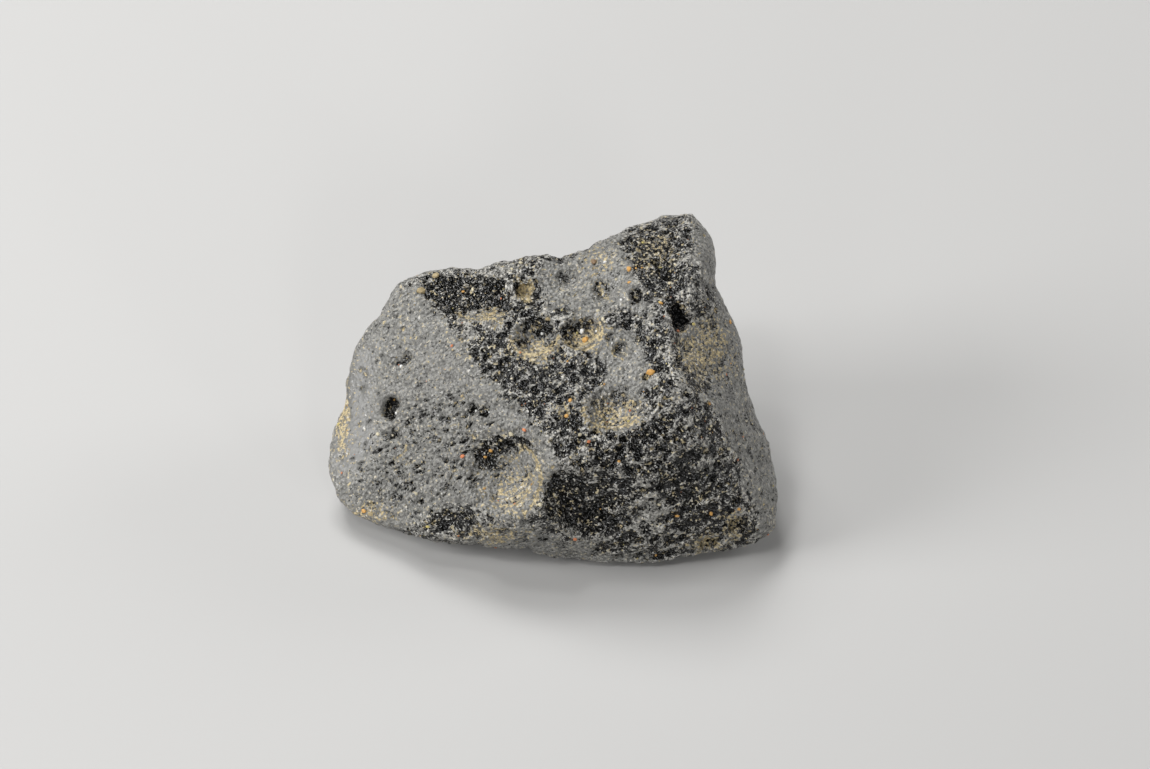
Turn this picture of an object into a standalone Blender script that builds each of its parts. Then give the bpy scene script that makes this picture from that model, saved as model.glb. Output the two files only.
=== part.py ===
"""A tektite, modelled as one lump of natural black glass.

The lump is shaped in a picture frame first: x to the right, y away from the viewer and
z up the picture, in millimetres, seen square to its broad face. It is then tipped back
onto the flat facet that it rests on. In the finished part +Z is up, the stone stands on
Z = 0, its long side runs along X and its broad face looks towards -Y and up.
"""

import math

import bmesh
import bpy
import numpy as np
from mathutils import Matrix, Vector, noise

MM = 0.001

# Driving dimensions
VIEW_ELEVATION = math.radians(40)  # how far the broad face is tipped back from upright
REST_DEPTH = 11.8                  # mm from the middle of the picture frame down to the rest facet
RIM_POWER = 6.0                    # squareness of the turn from the broad faces into the sides
RIDGE_ROUNDING = 0.7               # mm, how softly two neighbouring spall faces meet
WAVER = 0.45                       # mm that the rim of a scoop strays from a true ellipse
WAVER_LENGTH = 3.5                 # mm from one stray of the rim to the next
BLUNTING = math.radians(7)         # how widely the outline's corners are evened out at the back
MOST_BLUNTED = 1.2                 # mm that a corner may lose at the back
THINNEST_EDGE = 0.4                # mm between the rim and either face just inside it
SIDE_WIDTH = 18.0                  # mm, typical, from the middle of a face to its edge
SIDE_DEPTH = 10.0                  # mm, typical, from the rim to a face
GROUND_AWAY = 0.03                 # mm taken off the rest facet to make it true
SPHERE_LEVEL = 7
TRIANGLES = 9400

# The outline of the broad face, anticlockwise from the right: x, z, and how far the rim
# lies towards the viewer there, in mm.
OUTLINE = [
    (22.4, -11.6, 0.5),
    (22.1, -8.6, -0.5),
    (21.4, -5.9, -1.0),
    (20.2, -3.1, -1.5),
    (19.3, -0.1, -2.0),
    (18.9, 2.9, -2.0),
    (18.4, 5.6, -2.5),
    (17.3, 8.1, -3.0),
    (16.4, 10.1, -3.5),
    (16.4, 12.9, -4.0),
    (15.9, 14.9, -4.0),
    (13.9, 17.3, -4.0),
    (11.5, 17.1, -4.0),
    (9.2, 16.6, -3.5),
    (6.5, 15.3, -3.0),
    (3.6, 13.9, -3.0),
    (0.8, 13.1, -3.0),
    (-4.3, 12.7, -3.0),
    (-8.4, 12.2, -3.0),
    (-12.6, 11.7, -3.0),
    (-15.2, 10.4, -3.0),
    (-17.1, 7.2, -3.0),
    (-19.5, 4.4, -3.0),
    (-20.4, 1.3, -3.0),
    (-20.9, -1.8, -3.0),
    (-21.9, -4.9, -3.0),
    (-22.4, -7.1, -2.5),
    (-21.4, -10.9, -1.5),
    (-19.5, -12.7, -1.0),
    (-16.3, -13.9, -0.5),
    (-12.5, -14.8, 0.5),
    (-7.5, -15.3, 1.2),
    (-2.5, -15.8, 2.0),
    (2.5, -16.8, 3.0),
    (7.0, -17.3, 3.6),
    (10.5, -17.3, 3.5),
    (13.0, -16.6, 2.8),
    (16.5, -16.1, 2.0),
    (19.8, -15.0, 1.2),
    (22.0, -13.9, 0.8),
]

# Spall faces as planes: height at the middle of the frame, rise per mm to the right and
# rise per mm up the picture. The front ones rise towards the viewer, the back ones away.
FRONT_FACES = {
    "left face": (10.5, 0.595, -0.18),
    "centre face": (8.8, 0.245, -0.48),
    "brow": (11.5, 0.03, 0.08),
    "lower right face": (19.0, -0.19, 0.72),
    "right edge face": (27.4, -1.2, -0.28),
    "top edge face": (15.4, 0.27, -1.05),
    "bottom edge face": (30.0, 0.0, 1.55),
}
BACK_FACES = {
    "back face": (12.5, -0.10, -0.15),
    "back left face": (18.0, 0.50, 0.15),
    "back right face": (20.0, -0.62, -0.10),
    "back top face": (19.5, 0.05, -0.85),
}
# The underside, in the tipped stone: depth at the middle, rise per mm to the right and
# rise per mm to the back. The first is the one that the stone rests on.
UNDER_FACES = {
    "rest facet": (REST_DEPTH + 0.3, 0.0, 0.0),
    "under front": (14.1, 0.0, -0.22),
    "under left": (16.9, -0.30, 0.0),
    "under right": (19.1, 0.40, 0.0),
    "under back": (14.0, 0.0, 0.50),
}

# Scoops and bubble pits: x, z, half width, half height, turn in degrees, depth in the
# middle, and lean, from -1 to 1, which steepens the wall on the right if it is positive.
FRONT_SCOOPS = [
    (-8.6, 9.4, 5.0, 2.5, -12, 1.8, -0.3),   # trough along the top left
    (-4.6, 8.9, 4.0, 2.0, 6, 1.0, 0.0),      # its tail
    (1.9, 10.2, 6.0, 3.0, 8, 1.4, 0.1),      # dish in the middle of the top
    (10.2, 11.8, 3.0, 3.6, 20, 0.9, 0.3),    # inner side of the lobe
    (15.2, 4.0, 3.4, 5.4, 20, 1.6, -0.5),    # clay floored scoop at the right
    (6.7, 0.8, 4.0, 5.6, -25, 1.0, 0.2),     # dish right of the centre
    (-4.3, -8.0, 4.1, 4.3, -20, 2.2, 0.1),   # large bowl under the ridge
    (4.6, -11.4, 6.3, 3.4, -14, 2.3, -0.85), # dark hollow, steep at its left end
    (-9.2, -13.6, 3.1, 2.1, -8, 1.7, 0.0),   # arch in the bottom edge
    (13.5, -9.5, 5.0, 3.0, 35, 0.6, 0.2),    # shallow dish in the lower right face
]
FRONT_PITS = [
    (-2.8, 9.8, 0.95, 0.95, 0, 0.75, 0.0),
    (1.6, 10.9, 1.2, 1.2, 0, 0.45, 0.0),
    (5.2, 9.2, 1.6, 1.5, 0, 0.6, -0.3),
    (8.4, 9.2, 0.8, 1.1, 0, 0.5, 0.0),
    (-1.3, 5.1, 2.5, 2.3, 0, 1.1, 0.0),
    (2.9, 5.6, 2.2, 2.1, 20, 1.1, 0.0),
    (5.8, -2.0, 2.7, 2.3, 0, 0.9, 0.0),
    (6.9, 4.0, 0.9, 0.9, 0, 0.4, 0.0),
    (12.5, 6.9, 0.9, 1.7, 20, 1.3, 0.0),
    (11.2, 11.9, 1.3, 1.1, -40, 0.6, 0.0),
    (-15.9, -1.9, 0.95, 1.4, -10, 1.1, 0.0),
    (-14.6, 2.9, 1.2, 0.7, 30, 0.5, 0.0),
    (-16.0, -4.7, 1.5, 0.7, 0, 0.5, 0.0),
    (-7.9, -2.3, 0.7, 0.7, 0, 0.45, 0.0),
    (-6.6, -2.4, 0.75, 0.75, 0, 0.5, 0.0),
    (-1.0, -15.0, 0.9, 0.7, 0, 0.5, 0.0),
    (15.6, -15.2, 1.1, 0.9, 0, 0.7, 0.0),
    (18.3, -13.5, 0.8, 1.0, 0, 0.8, 0.0),
]
BACK_SCOOPS = [
    (-10.5, 3.0, 5.5, 4.0, 20, 1.6, 0.3),
    (4.5, 7.5, 6.0, 4.2, -15, 1.5, -0.3),
    (13.0, 0.0, 4.2, 5.4, 10, 1.6, 0.4),
    (-1.5, 1.5, 3.0, 2.8, 0, 1.1, 0.0),
]
BACK_PITS = [
    (-16.2, -0.5, 1.5, 1.3, 0, 0.8, 0.0),
    (-12.8, 8.2, 1.2, 1.5, 0, 0.7, 0.0),
    (-6.0, 8.4, 1.8, 1.6, 10, 0.9, 0.0),
    (-3.8, 4.9, 1.0, 1.0, 0, 0.6, 0.0),
    (1.2, 10.4, 1.2, 1.0, 0, 0.6, 0.0),
    (6.4, 3.4, 1.6, 1.9, 0, 0.9, 0.0),
    (9.9, 10.9, 1.5, 1.3, 0, 0.8, 0.0),
    (12.2, 13.9, 1.1, 1.1, 0, 0.6, 0.0),
    (14.6, 5.6, 1.2, 1.5, 0, 0.7, 0.0),
    (17.4, -2.7, 1.4, 1.1, 0, 0.6, 0.0),
    (9.0, -2.6, 1.1, 1.1, 0, 0.5, 0.0),
    (-7.5, -1.5, 1.3, 1.1, 0, 0.6, 0.0),
    (-12.0, -6.5, 1.6, 1.2, 20, 0.8, 0.0),
    (-3.5, -9.0, 1.8, 1.0, 0, 0.7, 0.0),
    (7.0, -8.2, 1.3, 1.0, 0, 0.7, 0.0),
    (15.0, -8.8, 1.6, 1.1, -15, 0.9, 0.0),
    (1.8, -13.0, 1.4, 0.8, 10, 0.6, 0.0),
]
# Scoops in the sides behind the rim: direction round the outline in degrees, distance
# behind the middle, half width and depth, in mm.
SIDE_SCOOPS = [
    (8, 6.5, 4.5, 1.2),
    (38, 3.8, 1.4, 0.7),
    (62, 3.0, 1.6, 0.6),
    (84, 7.5, 4.0, 1.3),
    (105, 4.6, 1.3, 0.7),
    (122, 7.0, 4.5, 1.4),
    (150, 5.8, 1.7, 0.8),
    (168, 7.5, 4.0, 1.2),
    (186, 5.0, 1.3, 0.6),
    (-22, 3.0, 1.5, 0.7),
]

# Undulations of the old melt surface: wavelength and height in mm.
SWELLS = [(8.0, 0.40), (2.8, 0.14)]

GLASS_COLOUR = (0.022, 0.021, 0.019, 1.0)
GLASS_ROUGHNESS = 0.42


def clear_scene():
    """Remove whatever the startup file holds."""
    for obj in list(bpy.data.objects):
        bpy.data.objects.remove(obj)


def rim_profile(turn):
    """Distance out from the middle and share of the height, for a turn from 0 on a broad face
    to 1 on the rim. Both come from a superellipse, walked at an even pace."""
    angle = np.linspace(0.0, math.pi / 2, 4000)
    out = np.sin(angle) ** (2 / RIM_POWER)
    height = np.cos(angle) ** (2 / RIM_POWER)
    steps = np.hypot(np.diff(out) * SIDE_WIDTH, np.diff(height) * SIDE_DEPTH)
    walked = np.concatenate([[0.0], np.cumsum(steps)])
    walked /= walked[-1]
    return np.interp(turn, walked, out), np.interp(turn, walked, height)


def outline_at(angle):
    """Radius of the outline and place of the rim, in the direction of an angle."""
    x, z, rim = np.array(OUTLINE).T
    at = np.arctan2(z, x)
    radius = np.interp(angle, at, np.hypot(x, z), period=2 * math.pi)
    return radius, np.interp(angle, at, rim, period=2 * math.pi)


def back_radius(angle):
    """Radius of the outline with its corners evened out, never outside the true one."""
    turns = (-2 * BLUNTING, -BLUNTING, 0.0, BLUNTING, 2 * BLUNTING)
    even = sum(outline_at(angle + turn)[0] for turn in turns) / len(turns)
    true = outline_at(angle)[0]
    return np.clip(even, true - MOST_BLUNTED, true)


def under_planes():
    """The underside's planes, turned into back faces of the picture frame."""
    c, s = math.cos(VIEW_ELEVATION), math.sin(VIEW_ELEVATION)
    return {
        name: tuple(v / (s + back * c) for v in (depth, -right, c - back * s))
        for name, (depth, right, back) in UNDER_FACES.items()
    }


def nearest_face(faces, x, z):
    """Height of the lowest plane above each point, rounded where two planes meet."""
    total = sum(
        np.exp(-(middle + right * x + up * z) / RIDGE_ROUNDING)
        for middle, right, up in faces.values()
    )
    return -RIDGE_ROUNDING * np.log(total)


def wavered(x, z):
    """The same points, strayed a little, so that no bowl is a true ellipse."""
    places = [Vector((a / WAVER_LENGTH, b / WAVER_LENGTH, 0.0)) for a, b in zip(x, z)]
    stray = WAVER * np.array([noise.noise_vector(p) for p in places])
    return x + stray[:, 0], z + stray[:, 1]


def dents(shapes, x, z):
    """Depth of a list of elliptical bowls with crisp rims."""
    depth = np.zeros_like(x)
    for at_x, at_z, half_width, half_height, turn, deep, lean in shapes:
        c, s = math.cos(math.radians(turn)), math.sin(math.radians(turn))
        along = ((x - at_x) * c + (z - at_z) * s) / half_width
        across = ((z - at_z) * c - (x - at_x) * s) / half_height
        bowl = np.clip(1 - along**2 - across**2, 0, None)
        depth += deep * bowl * (1 + lean * np.clip(along, -1, 1))
    return depth


def side_bites(points):
    """How far each point is pushed in by the scoops in the sides, as a vector."""
    push = np.zeros_like(points)
    for degrees, behind, half_width, deep in SIDE_SCOOPS:
        angle = math.radians(degrees)
        outward = np.array([math.cos(angle), 0.0, math.sin(angle)])
        reach = outline_at(np.array([angle]))[0][0]
        offset = points - outward * reach - np.array([0.0, behind, 0.0])
        along = offset @ outward
        across = (offset**2).sum(axis=1) - along**2
        bowl = np.clip(1 - across / half_width**2, 0, None) * (np.abs(along) < reach / 2)
        push -= outward * (deep * bowl)[:, None]
    return push


def swell(points):
    """Signed height of the undulations at each point."""
    height = np.zeros(len(points))
    for wavelength, amount in SWELLS:
        height += amount * np.array([noise.noise(Vector(p / wavelength)) for p in points])
    return height


def shape_in_picture(directions):
    """Where each point of a unit sphere goes on the lump, in the picture frame."""
    dx, dy, dz = directions.T
    angle = np.arctan2(dz, dx)
    turn = np.arccos(np.clip(np.abs(dy), 0, 1)) / (math.pi / 2)
    out, share = rim_profile(turn)
    radius, rim = outline_at(angle)
    radius += (back_radius(angle) - radius) * np.where(dy < 0, 0.0, share)
    x = out * radius * np.cos(angle)
    z = out * radius * np.sin(angle)
    near_x, near_z = wavered(x, z)
    front = nearest_face(FRONT_FACES, x, z)
    front -= dents(FRONT_SCOOPS + FRONT_PITS, near_x, near_z)
    front = np.maximum(front, rim + THINNEST_EDGE)
    back = nearest_face(BACK_FACES | under_planes(), x, z)
    back -= dents(BACK_SCOOPS + BACK_PITS, near_x, near_z)
    back = np.maximum(back, THINNEST_EDGE - rim)
    y = np.where(dy < 0, -rim - (front - rim) * share, -rim + (back + rim) * share)
    points = np.stack([x, y, z], axis=1)
    points += side_bites(points)
    return points + directions * swell(points)[:, None]


def tip_onto_rest_facet(points):
    """Tip the lump back, grind the rest facet flat and bring it down to height 0."""
    tip = np.array(Matrix.Rotation(-VIEW_ELEVATION, 3, "X"))
    points = points @ tip.T
    points[:, 2] = np.maximum(points[:, 2], -REST_DEPTH) + REST_DEPTH
    return points


def make_lump():
    """The finely divided lump as a mesh, in metres."""
    bm = bmesh.new()
    bmesh.ops.create_icosphere(bm, subdivisions=SPHERE_LEVEL, radius=1.0)
    mesh = bpy.data.meshes.new("tektite")
    bm.to_mesh(mesh)
    bm.free()
    co = np.empty(len(mesh.vertices) * 3)
    mesh.vertices.foreach_get("co", co)
    directions = co.reshape(-1, 3)
    directions /= np.linalg.norm(directions, axis=1)[:, None]
    points = tip_onto_rest_facet(shape_in_picture(directions)) * MM
    mesh.vertices.foreach_set("co", points.ravel())
    mesh.update()
    return mesh


def thinned(mesh):
    """The same lump with far fewer triangles, most of them kept at rims and ridges."""
    obj = bpy.data.objects.new("fine_lump", mesh)
    bpy.context.scene.collection.objects.link(obj)
    decimate = obj.modifiers.new("fewer triangles", "DECIMATE")
    decimate.ratio = TRIANGLES / len(mesh.polygons)
    graph = bpy.context.evaluated_depsgraph_get()
    thin = bpy.data.meshes.new_from_object(obj.evaluated_get(graph))
    bpy.data.objects.remove(obj)
    return thin


def stand_over_origin(mesh):
    """Grind the rest facet true again after the thinning, and put the middle of the
    footprint's box over the origin with the facet at height 0."""
    co = np.empty(len(mesh.vertices) * 3)
    mesh.vertices.foreach_get("co", co)
    points = co.reshape(-1, 3)
    points[:, 2] = np.maximum(points[:, 2], GROUND_AWAY * MM)
    middle = (points.min(axis=0) + points.max(axis=0)) / 2
    points -= (middle[0], middle[1], points[:, 2].min())
    mesh.vertices.foreach_set("co", co)
    mesh.update()


def glass_material():
    material = bpy.data.materials.new("tektite_glass")
    material.use_nodes = True
    shader = material.node_tree.nodes["Principled BSDF"]
    shader.inputs["Base Color"].default_value = GLASS_COLOUR
    shader.inputs["Roughness"].default_value = GLASS_ROUGHNESS
    shader.inputs["Metallic"].default_value = 0.0
    return material


def main():
    clear_scene()
    collection = bpy.data.collections.new("tektite")
    bpy.context.scene.collection.children.link(collection)
    mesh = thinned(make_lump())
    stand_over_origin(mesh)
    mesh.shade_smooth()
    mesh.materials.append(glass_material())
    stone = bpy.data.objects.new("tektite", mesh)
    collection.objects.link(stone)


main()
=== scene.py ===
# %% [markdown]
# A tektite
# A tektite is a lump of natural black glass. It was melted and thrown into the air when a
# large meteorite struck the ground, it set in flight, and it then lay in wet soil for
# hundreds of thousands of years. The impact left its broken faces and the bubble pits, and
# the soil left the fine etched grain and the yellow clay in its hollows.
# This lesson takes a plain solid of the stone and gives it that surface.

# %% Load the solid that the lesson starts from
import math

import bmesh
import bpy
import numpy as np
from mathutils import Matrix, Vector, noise
from mathutils.bvhtree import BVHTree
from mathutils.kdtree import KDTree


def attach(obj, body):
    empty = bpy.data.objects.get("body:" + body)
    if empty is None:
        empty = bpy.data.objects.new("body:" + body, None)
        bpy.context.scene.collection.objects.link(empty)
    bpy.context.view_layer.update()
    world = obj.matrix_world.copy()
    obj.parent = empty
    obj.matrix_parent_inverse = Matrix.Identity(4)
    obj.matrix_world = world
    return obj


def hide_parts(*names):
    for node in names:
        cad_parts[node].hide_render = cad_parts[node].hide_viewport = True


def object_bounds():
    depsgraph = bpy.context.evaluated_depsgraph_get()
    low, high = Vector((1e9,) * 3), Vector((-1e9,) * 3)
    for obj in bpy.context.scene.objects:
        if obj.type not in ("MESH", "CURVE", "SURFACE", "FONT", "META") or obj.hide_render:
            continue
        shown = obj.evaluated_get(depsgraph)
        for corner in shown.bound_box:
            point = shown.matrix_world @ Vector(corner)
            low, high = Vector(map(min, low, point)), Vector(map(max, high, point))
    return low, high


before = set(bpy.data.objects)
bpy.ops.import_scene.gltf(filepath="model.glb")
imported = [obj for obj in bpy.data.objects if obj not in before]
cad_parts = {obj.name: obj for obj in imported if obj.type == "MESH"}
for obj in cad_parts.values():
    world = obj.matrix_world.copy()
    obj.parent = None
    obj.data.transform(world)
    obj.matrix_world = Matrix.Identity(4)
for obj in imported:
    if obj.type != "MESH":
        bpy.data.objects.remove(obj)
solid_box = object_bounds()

MM = 0.001
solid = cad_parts["tektite"]
print("the solid is", [round((b - a) / MM, 1) for a, b in zip(*solid_box)], "mm and has",
      len(solid.data.polygons), "triangles")

# %% [markdown]
# The camera
# The camera comes first, because the pits are placed by what it sees. A long lens from a
# short way off gives the flat, quiet perspective of a specimen photograph. The stone lies
# on its flat side and is seen from 40 degrees above the table. The camera could be placed
# by eye. Here it is moved until the stone fills the same box of the picture as the real
# one, which takes a few turns of a loop and stays right when the stone is changed.

# %% Place the camera
PICTURE = (1150, 769)
STONE_IN_PICTURE = (328.0, 215.5, 777.5, 562.5)
LENS = 135.0
SENSOR = 36.0
LOOK_DOWN = math.radians(40)

toward_camera = Vector((0.0, -math.cos(LOOK_DOWN), math.sin(LOOK_DOWN)))
picture_right = Vector((1.0, 0.0, 0.0))
picture_up = Vector((0.0, math.sin(LOOK_DOWN), math.cos(LOOK_DOWN)))
pixels_per_slope = LENS / SENSOR * PICTURE[0]


def points_of(mesh):
    """The mesh's points as an array of rows."""
    flat = np.empty(len(mesh.vertices) * 3)
    mesh.vertices.foreach_get("co", flat)
    return flat.reshape(-1, 3)


def in_picture(points, eye):
    """Where points appear in the picture, in pixels from its top left corner."""
    away = points - np.array(eye)
    slope = pixels_per_slope / -(away @ np.array(toward_camera))
    across = PICTURE[0] / 2 + (away @ np.array(picture_right)) * slope
    down = PICTURE[1] / 2 - (away @ np.array(picture_up)) * slope
    return across, down


left, top, right, bottom = STONE_IN_PICTURE
distance = 0.43
aim = (solid_box[0] + solid_box[1]) / 2
for turn in range(30):
    eye = aim + toward_camera * distance
    across, down = in_picture(points_of(solid.data), eye)
    metres_per_pixel = distance / pixels_per_slope
    aim += picture_right * ((across.max() + across.min() - left - right) / 2 * metres_per_pixel)
    aim -= picture_up * ((down.max() + down.min() - top - bottom) / 2 * metres_per_pixel)
    distance *= (across.max() - across.min()) / (right - left)

camera = bpy.data.objects.new("camera", bpy.data.cameras.new("camera"))
camera.data.lens = LENS
camera.data.sensor_width = SENSOR
camera.location = eye
camera.rotation_euler = (math.pi / 2 - LOOK_DOWN, 0.0, 0.0)
bpy.context.scene.collection.objects.link(camera)
bpy.context.scene.camera = camera
print("camera", round(distance, 3), "m away; the stone spans", round(across.max() - across.min(), 1),
      "by", round(down.max() - down.min(), 1), "pixels;", right - left, "by", bottom - top, "are wanted")

# %% [markdown]
# The light
# Black glass has almost no colour of its own. What is seen of it is the light that its
# skin throws back, so the lamps matter more than they do for most things. Each broad face
# of the stone is a dull mirror, and a lamp lights it best from where that mirror looks. So
# a large soft lamp stands low on the left for the left face, a second one behind the stone
# for the top and the far walls of the pits, and a weak one on the right for that edge. Five
# smaller ones stand between them and make the grains of bare glass glint. Area lamps are
# used because a lamp without size would give hard white points and black shadows.

# %% Light the table
LARGE_LAMPS = [
    # name, turn and height in degrees, size in metres, watts
    ("left_soft_lamp", -78, 28, 0.22, 2.15),
    ("back_soft_lamp", -160, 54, 0.22, 1.9),
    ("right_soft_lamp", 110, 22, 0.20, 0.85),
]
SPARKLES = [(-40, 62), (-120, 68), (-14, 12), (14, 25), (38, 12)]
SPARKLE_SIZE = 0.08
SPARKLE_POWER = 0.38


def add_soft_lamp(name, turn, height, size, power, reach=0.5):
    """A square lamp aimed at the stone. A turn of 0 is the camera's side, and 90 is to the right."""
    a = math.radians(turn)
    e = math.radians(height)
    place = Vector((math.sin(a) * math.cos(e), -math.cos(a) * math.cos(e), math.sin(e))) * reach
    lamp = bpy.data.objects.new(name, bpy.data.lights.new(name, "AREA"))
    lamp.data.shape = "SQUARE"
    lamp.data.size = size
    lamp.data.energy = power
    lamp.location = place
    lamp.rotation_euler = (-place).to_track_quat("-Z", "Y").to_euler()
    bpy.context.scene.collection.objects.link(lamp)


for name, turn, height, size, power in LARGE_LAMPS:
    add_soft_lamp(name, turn, height, size, power)
for number, (turn, height) in enumerate(SPARKLES):
    add_soft_lamp("sparkle_lamp_" + str(number + 1), turn, height, SPARKLE_SIZE, SPARKLE_POWER)

world = bpy.data.worlds.new("studio_air")
world.use_nodes = True
world.node_tree.nodes["Background"].inputs["Color"].default_value = (0.5, 0.5, 0.5, 1.0)
world.node_tree.nodes["Background"].inputs["Strength"].default_value = 0.10
bpy.context.scene.world = world
bpy.context.scene.view_settings.view_transform = "Standard"
print(len(LARGE_LAMPS), "large lamps and", len(SPARKLES), "small ones hung")

# %% [markdown]
# The table
# The stone lies on a plain pale table top. One large square is enough, because the camera
# looks down and never sees its edge.

# %% Lay the table top
HALF_TABLE = 1.5
bm = bmesh.new()
bmesh.ops.create_grid(bm, x_segments=1, y_segments=1, size=HALF_TABLE)
table_mesh = bpy.data.meshes.new("table_top")
bm.to_mesh(table_mesh)
bm.free()
table_top = bpy.data.objects.new("table_top", table_mesh)
bpy.context.scene.collection.objects.link(table_top)
table_paint = bpy.data.materials.new("pale_table")
table_paint.use_nodes = True
table_shader = table_paint.node_tree.nodes["Principled BSDF"]
table_shader.inputs["Base Color"].default_value = (0.43, 0.426, 0.418, 1.0)
table_shader.inputs["Roughness"].default_value = 0.8
table_mesh.materials.append(table_paint)
print("the table top is", 2 * HALF_TABLE, "m wide")

# %% [markdown]
# The skin of the stone
# The solid is right in its large forms, but its flat triangles are nearly a millimetre
# wide, and the pits to come are smaller than that. The solid itself must stay as it is, so
# a copy is worked on. Its loose triangles are merged first. A voxel remesh then wraps the
# copy in small even faces, as cling film would, and a few rounds of smoothing take away the
# marks of the old triangles. Subdividing would keep the old long triangles, and those would
# show as soon as the surface is pushed about.

# %% Wrap the solid in an even skin
VOXEL = 0.14 * MM
SAME_PLACE = 0.01 * MM
SMOOTHING = 14


def merged_copy(source, name):
    """A copy of a mesh of loose triangles, with the points that coincide made one."""
    bm = bmesh.new()
    bm.from_mesh(source)
    bmesh.ops.remove_doubles(bm, verts=bm.verts, dist=SAME_PLACE)
    mesh = bpy.data.meshes.new(name)
    bm.to_mesh(mesh)
    bm.free()
    return mesh


def modified(mesh, kind, **settings):
    """The mesh as one modifier leaves it. The mesh that went in is removed."""
    holder = bpy.data.objects.new("holder", mesh)
    bpy.context.scene.collection.objects.link(holder)
    modifier = holder.modifiers.new(kind.lower(), kind)
    for name, value in settings.items():
        setattr(modifier, name, value)
    graph = bpy.context.evaluated_depsgraph_get()
    changed = bpy.data.meshes.new_from_object(holder.evaluated_get(graph))
    changed.name = mesh.name
    bpy.data.objects.remove(holder)
    bpy.data.meshes.remove(mesh)
    return changed


skin = merged_copy(solid.data, "tektite_glass")
print("merged", len(skin.vertices), "points")
skin = modified(skin, "REMESH", mode="VOXEL", voxel_size=VOXEL)
skin = modified(skin, "SMOOTH", factor=0.5, iterations=SMOOTHING)
print("the skin has", len(skin.vertices), "points")

# %% [markdown]
# Finding places on the stone
# Carving needs to find places quickly, so the points of the skin are copied out once, in
# mm. One helper finds the points near a place, with a search tree. A second says which way
# the skin faces there. A third follows the camera's view through a pixel of the picture
# until it meets the stone, so that a pit can be put where the real one is.

# %% Find places on the stone
carved = points_of(skin) / MM
start = carved.copy()
flat_normals = np.empty(len(carved) * 3)
skin.vertices.foreach_get("normal", flat_normals)
outward = flat_normals.reshape(-1, 3)
surface = BVHTree.FromPolygons(start.tolist(), [tuple(p.vertices) for p in skin.polygons])
finder = KDTree(len(start))
for i, point in enumerate(start):
    finder.insert(point, i)
finder.balance()


def near(middle, reach):
    """The numbers of the points within reach of a place, in mm."""
    return np.array([found[1] for found in finder.find_range(middle, reach)], dtype=int)


def facing(place, reach=0.8):
    """The mean outward direction of the skin round a place."""
    return Vector(outward[near(place, reach)].mean(axis=0)).normalized()


def under_pixel(x, y):
    """The place on the stone that appears at a pixel, and the way that the skin faces there."""
    ray = (picture_right * ((x - PICTURE[0] / 2) / pixels_per_slope)
           + picture_up * ((PICTURE[1] / 2 - y) / pixels_per_slope) - toward_camera)
    place = surface.ray_cast(eye / MM, ray.normalized())[0]
    if place is None:
        return None
    return place, facing(place)


print("the middle of the picture shows the place", [round(c, 1) for c in under_pixel(575, 385)[0]], "in mm")

# %% [markdown]
# Pressing a bowl
# A pit is pressed into the skin by moving every point near its middle inwards, most in the
# middle and not at all at the rim. Boolean cuts with spheres could do the same, but
# hundreds of them would be slow and could fail. A pit also changes the finish: clay
# settles in it, its wall is darkened as painted shade, most on its upper left side, and its
# floor can be glossy. Those three go into masks, one number for each point, for the material
# to use later.

# %% Make the tool that presses a bowl
RIM_SHARE = 0.16
clay = np.zeros(len(start))
# The wall mask is painted shade on the walls of pits, darkened in the colour.
wall_shade = np.zeros(len(start))
gloss = np.zeros(len(start))


def press_bowl(place, away, wide, high, turn, deep, lean=0.0, lip=0.0, clayey=0.0, polish_and_shade=0.0):
    """Press an oval bowl into the skin. Sizes are in mm, and turn is in degrees.

    A lean makes one end deeper, a lip raises the rim, and a depth below zero makes a dome.
    """
    chosen = near(place, 1.3 * max(wide, high))
    side = picture_right - away * picture_right.dot(away)
    if side.length < 0.1:
        side = picture_up - away * picture_up.dot(away)
    side.normalize()
    rise = away.cross(side)
    if rise.dot(picture_up) < 0:
        rise.negate()
    offset = start[chosen] - np.array(place)
    a = offset @ np.array(side)
    b = offset @ np.array(rise)
    c = math.cos(math.radians(turn))
    s = math.sin(math.radians(turn))
    along = (a * c + b * s) / wide
    across = (b * c - a * s) / high
    far = np.sqrt(along**2 + across**2)
    bowl = np.clip(1 - far**2, 0, None) * (1 + lean * np.clip(along, -1, 1))
    rim = np.exp(-(((far - 1) / RIM_SHARE) ** 2))
    same_side = outward[chosen] @ np.array(away) > 0
    change = np.where(same_side, lip * rim - deep * bowl, 0.0)
    carved[chosen] += change[:, None] * np.array(away)
    clay[chosen] = np.maximum(clay[chosen], clayey * np.clip(bowl, 0, 1) * same_side)
    # Painted shade: the wall is darkened, most on its upper left side, which faces away from the lamps.
    wall = np.exp(-(((far - 0.72) / 0.24) ** 2))
    shaded_side = np.clip(0.35 + 0.65 * (b - a) / np.hypot(wide, high) / 0.7, 0, 1)
    wall_shade[chosen] = np.maximum(wall_shade[chosen], polish_and_shade * wall * shaded_side * same_side)
    middle = np.clip(1.4 - 2.8 * far, 0, 1)
    gloss[chosen] = np.maximum(gloss[chosen], polish_and_shade * middle * same_side)


print("masks for clay, bare walls and gloss made, with", len(clay), "numbers each")
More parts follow.
